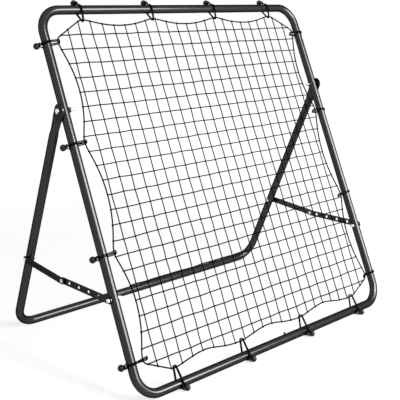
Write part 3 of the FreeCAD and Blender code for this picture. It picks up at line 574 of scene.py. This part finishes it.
def net(rope_line):
    """A knotted net of square meshes, its twines a little uneven, tied to the rope all round."""
    chance = random.Random(NET_SEED)
    step_across = 2 * NET_SIDE / (NET_LINES - 1)
    step_up = (NET_HIGH - NET_LOW) / (NET_LINES - 1)
    lines = range(NET_LINES)
    columns = [-NET_SIDE + line * step_across for line in lines]
    rows = [NET_LOW + line * step_up for line in lines]
    crossing = {}
    for row, up in enumerate(rows):
        for column, across in enumerate(columns):
            crossing[row, column] = (
                across + chance.uniform(-CROSSING_STRAY, CROSSING_STRAY),
                up + chance.uniform(-CROSSING_STRAY, CROSSING_STRAY),
                chance.uniform(-CROSSING_LIFT, CROSSING_LIFT),
            )
    form = Form()
    for line, (across, up) in enumerate(zip(columns, rows)):
        low, high = rope_reach(rope_line, 0, across)
        column = [(across, low, 0.0)] + [crossing[row, line] for row in lines] + [(across, high, 0.0)]
        form.add_tube(twine_path(column, chance), TWINE, TWINE_SIDES)
        left, right = rope_reach(rope_line, 1, up)
        row = [(left, up, 0.0)] + [crossing[line, column] for column in lines] + [(right, up, 0.0)]
        form.add_tube(twine_path(row, chance), TWINE, TWINE_SIDES)
    for across, up, back in crossing.values():
        add_knot(form, on_panel(across, up, back - NET_FORWARD), CROSSING_KNOT, chance)
    for across, up in zip(columns, rows):
        for end_up, end_across in zip(rope_reach(rope_line, 0, across), rope_reach(rope_line, 1, up)):
            add_knot(form, on_panel(across, end_up, -NET_FORWARD), ROPE_KNOT, chance)
            add_knot(form, on_panel(end_across, up, -NET_FORWARD), ROPE_KNOT, chance)
    piece = form.make("net_knotted", TWINE_CORD, "frame")
    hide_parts("net")


def arc(centre, radius, first, last, steps):
    points = []
    for step in range(steps + 1):
        angle = first + (last - first) * step / steps
        points.append((centre[0] + radius * math.cos(angle), centre[1] + radius * math.sin(angle)))
    return points


def half_loop(side, slack, inner_along, ball_along):
    """Half of a loop: from the ball round the tube and the rope, and back to its middle at the neck.

    Its points are (distance from the loop's middle, out, back, shift along the tube). The ball's centre and
    the direction in which the cord enters it follow as (out, back).
    """
    ball_out, ball_back = BALL_PLACE[side]
    flip = 1 if ball_back > 0 else -1
    ball = Vector((ball_out, ball_back * flip))
    rope = Vector((-ROPE_INSET[side] - slack, -NET_FORWARD * flip))
    around_tube = TUBE + CORD + SOFT_GAP
    around_rope = ROPE + CORD + SOFT_GAP + LOOP_ROOM[side]
    near = STRAND_SPACING
    wide = near + 2 * CORD + SOFT_GAP

    heading = math.atan2(rope.y, rope.x) % (2 * math.pi)
    spread = math.acos((around_tube - around_rope) / rope.length)
    front = heading + spread
    behind = heading - spread
    leave = math.atan2(ball.y, ball.x) - math.acos(around_tube / ball.length)
    edge = Vector((math.cos(leave), math.sin(leave))) * around_tube
    toward = (ball - edge).normalized()
    neck = ball - toward * BALL_NECK
    meet = math.atan2(neck.y, neck.x) + math.acos(around_tube / neck.length)

    # A corner is its place, its distance from the loop's middle, and 1 on the way out or -1 on the way back
    start = ball - toward * (BALL - BALL_BORE_DEPTH + SOFT_GAP)
    corners = [(tuple(start), near, 1.0)]
    for point in arc((0, 0), around_tube, leave, front - 2 * math.pi, OUT_ARC_STEPS):
        corners.append((point, near, 1.0))
    for number, point in enumerate(arc(tuple(rope), around_rope, front, behind, ROPE_ARC_STEPS)):
        corners.append((point, near, math.cos(math.pi * number / ROPE_ARC_STEPS)))
    for number, point in enumerate(arc((0, 0), around_tube, behind, meet, BACK_ARC_STEPS)):
        share = (number + 2) / (BACK_ARC_STEPS + 2)
        corners.append((point, near + (wide - near) * (0.5 - 0.5 * math.cos(math.pi * share)), -1.0))
    ahead = (neck - Vector(corners[-1][0])).normalized()
    for angle in NECK_ANGLES:
        beyond = wide * math.sin(math.radians(angle))
        corners.append((tuple(neck + ahead * beyond), wide * math.cos(math.radians(angle)), -1.0))

    route = []
    for (out, back), offset, way in corners:
        share = min(max((out - rope.x) / (ball.x - rope.x), 0), 1)
        shift = inner_along + (ball_along - inner_along) * share + LOOP_TWIST[side] * way * (1 - share)
        route.append((offset, out, back * flip, shift))
    return route, Vector((ball.x, ball.y * flip)), Vector((toward.x, toward.y * flip))


def tie_frame(side, spot):
    """What turns a tie's own (along, out, back) into a place in the scene."""
    across, up = spot
    origin = on_panel(across, up)

    def to_world(along, out, back):
        return origin + ALONG[side] * along + OUTWARD[side] * out + BACK * back
    return to_world


def ball_profile():
    """A ball along its axis: the bevelled bore, then the sphere with its moulding seam."""
    floor = BALL - BALL_BORE_DEPTH
    profile = [
        (floor, BORE_MIDDLE),
        (floor, BALL_BORE * BORE_FLOOR_SHARE),
        (floor + BORE_BEVEL, BALL_BORE),
    ]
    rim = math.asin(BALL_BORE / BALL)
    for step in range(BALL_RINGS + 1):
        angle = rim + (math.pi - TIP_ANGLE - rim) * step / BALL_RINGS
        seam = SEAM_HEIGHT * math.exp(-((angle - math.pi / 2) / SEAM_ANGLE) ** 2)
        profile.append(((BALL + seam) * math.cos(angle), (BALL + seam) * math.sin(angle)))
    return profile


def loops_and_balls():
    upper = Form()
    foot = Form()
    balls = Form()
    profile = ball_profile()
    for number, (side, spot) in enumerate(ties()):
        to_world = tie_frame(side, spot)
        slack, inner_along, along = LOOP_SET[side][number % TIES_PER_SIDE]
        route, ball, toward = half_loop(side, slack, inner_along, along)
        one = [to_world(offset + shift, out, back) for offset, out, back, shift in route]
        other = [to_world(shift - offset, out, back) for offset, out, back, shift in route]
        loops = foot if side == "bottom" else upper
        loops.add_tube(one + other[-2::-1], CORD, CORD_SIDES)
        centre = to_world(along, ball.x, ball.y)
        mouth = (to_world(along, ball.x - toward.x, ball.y - toward.y) - centre).normalized()
        balls.add_turned(centre, mouth, profile, BALL_SIDES)
    piece = upper.make("tie_loops_elastic", ELASTIC, "frame")
    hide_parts("tie_loops")
    piece = foot.make("foot_loops_elastic", ELASTIC, "frame")
    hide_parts("foot_loops")
    piece = balls.make("tie_balls_moulded", BALL_PLASTIC, "frame", BALL_SMOOTH_ANGLE)
    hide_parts("tie_balls")


# Floor, light and camera

def seen_directly(tree):
    """One for rays from the camera, mirrors and glass, and nought for the light on the object."""
    path = add_node(tree, "ShaderNodeLightPath", {})
    seen = path.outputs["Is Camera Ray"]
    for output in ("Is Glossy Ray", "Is Transmission Ray"):
        seen = add_math(tree, "MAXIMUM", seen, path.outputs[output])
    return seen


def make_floor():
    """A pale floor that turns white away from the object and keeps its shadow close by."""
    mesh = bpy.data.meshes.new("floor")
    corners = ((-1, -1), (1, -1), (1, 1), (-1, 1))
    points = [(across * FLOOR_REACH, back * FLOOR_REACH, 0) for across, back in corners]
    mesh.from_pydata(points, [], [(0, 1, 2, 3)])
    floor = bpy.data.objects.new("floor", mesh)
    bpy.context.scene.collection.objects.link(floor)
    material = bpy.data.materials.new("floor_white")
    material.use_nodes = True
    tree = material.node_tree
    tree.nodes.clear()
    position = add_node(tree, "ShaderNodeNewGeometry", {}).outputs["Position"]
    distance = add_node(tree, "ShaderNodeVectorMath", {0: position}, operation="LENGTH").outputs["Value"]
    fade_inputs = {
        "Value": distance,
        "From Min": GLOW_DISTANCES[0],
        "From Max": GLOW_DISTANCES[1],
        "To Min": GLOW_STRENGTHS[0],
        "To Max": GLOW_STRENGTHS[1],
    }
    fade = add_node(tree, "ShaderNodeMapRange", fade_inputs, interpolation_type="SMOOTHSTEP")
    strength = add_math(tree, "MULTIPLY", seen_directly(tree), fade.outputs["Result"])
    diffuse = add_node(tree, "ShaderNodeBsdfDiffuse", {"Color": FLOOR_COLOUR})
    glow = add_node(tree, "ShaderNodeEmission", {"Strength": strength})
    both = add_node(tree, "ShaderNodeAddShader", {0: diffuse.outputs[0], 1: glow.outputs[0]})
    add_node(tree, "ShaderNodeOutputMaterial", {"Surface": both.outputs[0]})
    mesh.materials.append(material)


def make_world():
    """White where it is seen directly, and a dim even light on the object."""
    world = bpy.data.worlds.new("studio")
    bpy.context.scene.world = world
    world.use_nodes = True
    tree = world.node_tree
    tree.nodes.clear()
    ambient = add_node(tree, "ShaderNodeBackground", {"Color": WHITE, "Strength": AMBIENT})
    white = add_node(tree, "ShaderNodeBackground", {"Color": WHITE, "Strength": 1.0})
    mix_inputs = {0: seen_directly(tree), 1: ambient.outputs[0], 2: white.outputs[0]}
    mix = add_node(tree, "ShaderNodeMixShader", mix_inputs)
    add_node(tree, "ShaderNodeOutputWorld", {"Surface": mix.outputs[0]})


def area_light(name, place, size, power):
    lamp = bpy.data.lights.new(name, "AREA")
    lamp.shape = "RECTANGLE"
    lamp.size, lamp.size_y = size
    lamp.energy = power
    holder = bpy.data.objects.new(name, lamp)
    holder.location = place
    holder.rotation_euler = (Vector(LAMP_TARGET) - Vector(place)).to_track_quat("-Z", "Y").to_euler()
    bpy.context.scene.collection.objects.link(holder)


def make_camera():
    camera = bpy.data.cameras.new("camera")
    camera.lens = CAMERA_LENS
    camera.sensor_width = CAMERA_SENSOR
    camera.shift_x, camera.shift_y = CAMERA_SHIFT
    holder = bpy.data.objects.new("camera", camera)
    holder.location = CAMERA_PLACE
    holder.rotation_euler = [math.radians(angle) for angle in CAMERA_TURN]
    bpy.context.scene.collection.objects.link(holder)
    bpy.context.scene.camera = holder


finish_cad_nodes()
rope_line = smoothed(rope_corners(), SMOOTHINGS)
border_rope(rope_line)
net(rope_line)
loops_and_balls()
make_floor()
make_world()
for lamp in LAMPS:
    area_light(*lamp)
make_camera()
bpy.context.scene.view_settings.view_transform = "Standard"
